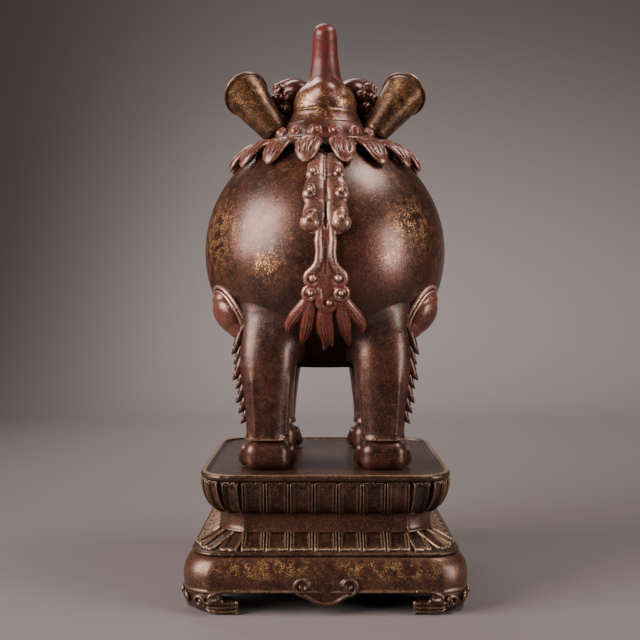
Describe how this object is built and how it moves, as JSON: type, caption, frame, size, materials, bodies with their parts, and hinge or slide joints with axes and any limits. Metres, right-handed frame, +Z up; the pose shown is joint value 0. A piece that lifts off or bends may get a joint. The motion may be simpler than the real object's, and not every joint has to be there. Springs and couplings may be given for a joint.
{
  "type": "incense burner",
  "caption": "Cast bronze incense burner: a round-bodied horned lion on a lotus stand, whose hinged head is the lid and lets the smoke out through the open mouth.",
  "frame": {"origin": "middle of the stand's footprint, on the surface that it stands on", "axes": "+Z up; the beast faces -Y, its tail is on the +Y side and its left side is +X"},
  "size_m": [0.1926, 0.2186, 0.4176],
  "materials": {
    "body_bronze": "dark brown patina, worn",
    "stand_bronze": "copper-brown patina",
    "red_lacquer": "worn red lacquer on bronze",
    "gilt_bronze": "rubbed gilding on bronze",
    "sooted_bronze": "sooted"
  },
  "bodies": {
    "stand": {"platform": "stand_bronze", "upper_lotus_band": "stand_bronze", "waist": "stand_bronze", "waist_columns": "stand_bronze", "lower_lotus_band": "stand_bronze", "plinth": "stand_bronze", "foot_front_left": "stand_bronze", "foot_front_right": "stand_bronze", "foot_rear_left": "stand_bronze", "foot_rear_right": "stand_bronze", "apron_cloud_front": "stand_bronze", "apron_cloud_rear": "stand_bronze", "apron_cloud_left": "stand_bronze", "apron_cloud_right": "stand_bronze"},
    "figure": {"body_bowl": "body_bronze", "mouth_ring": "body_bronze", "belly_plate": "sooted_bronze", "belly_rivets": "sooted_bronze", "ash_pan": "sooted_bronze", "leg_front_left": "body_bronze", "leg_front_right": "body_bronze", "leg_rear_left": "body_bronze", "leg_rear_right": "body_bronze", "fringe_front_left": "red_lacquer", "fringe_front_right": "red_lacquer", "fringe_rear_left": "red_lacquer", "fringe_rear_right": "red_lacquer", "shoulder_boss_left": "red_lacquer", "shoulder_boss_right": "red_lacquer", "haunch_boss_left": "red_lacquer", "haunch_boss_right": "red_lacquer", "tail_crest": "red_lacquer", "tail_stem": "red_lacquer", "tail_tufts": "red_lacquer", "tail_beads": "red_lacquer", "hinge_lugs": "body_bronze", "hinge_pin": "gilt_bronze"},
    "lid": {"mane_locks": "red_lacquer", "neck_collar": "body_bronze", "mane_beads": "red_lacquer", "head_shell": "body_bronze", "horn": "red_lacquer", "ear_left": "gilt_bronze", "ear_right": "gilt_bronze", "eye_left": "gilt_bronze", "eye_right": "gilt_bronze", "tongue": "red_lacquer", "fangs": "gilt_bronze", "hinge_knuckle": "body_bronze"}
  },
  "joints": [
    {"name": "figure_lift", "type": "slide", "parent": "stand", "child": "figure", "axis": [0, 0, 1], "range_m": [0, 0.04]},
    {"name": "lid_hinge", "type": "hinge", "parent": "figure", "child": "lid", "pos_m": [0, -0.07331, 0.30601], "axis": [1, 0, 0], "range_deg": [0, 90]}
  ]
}
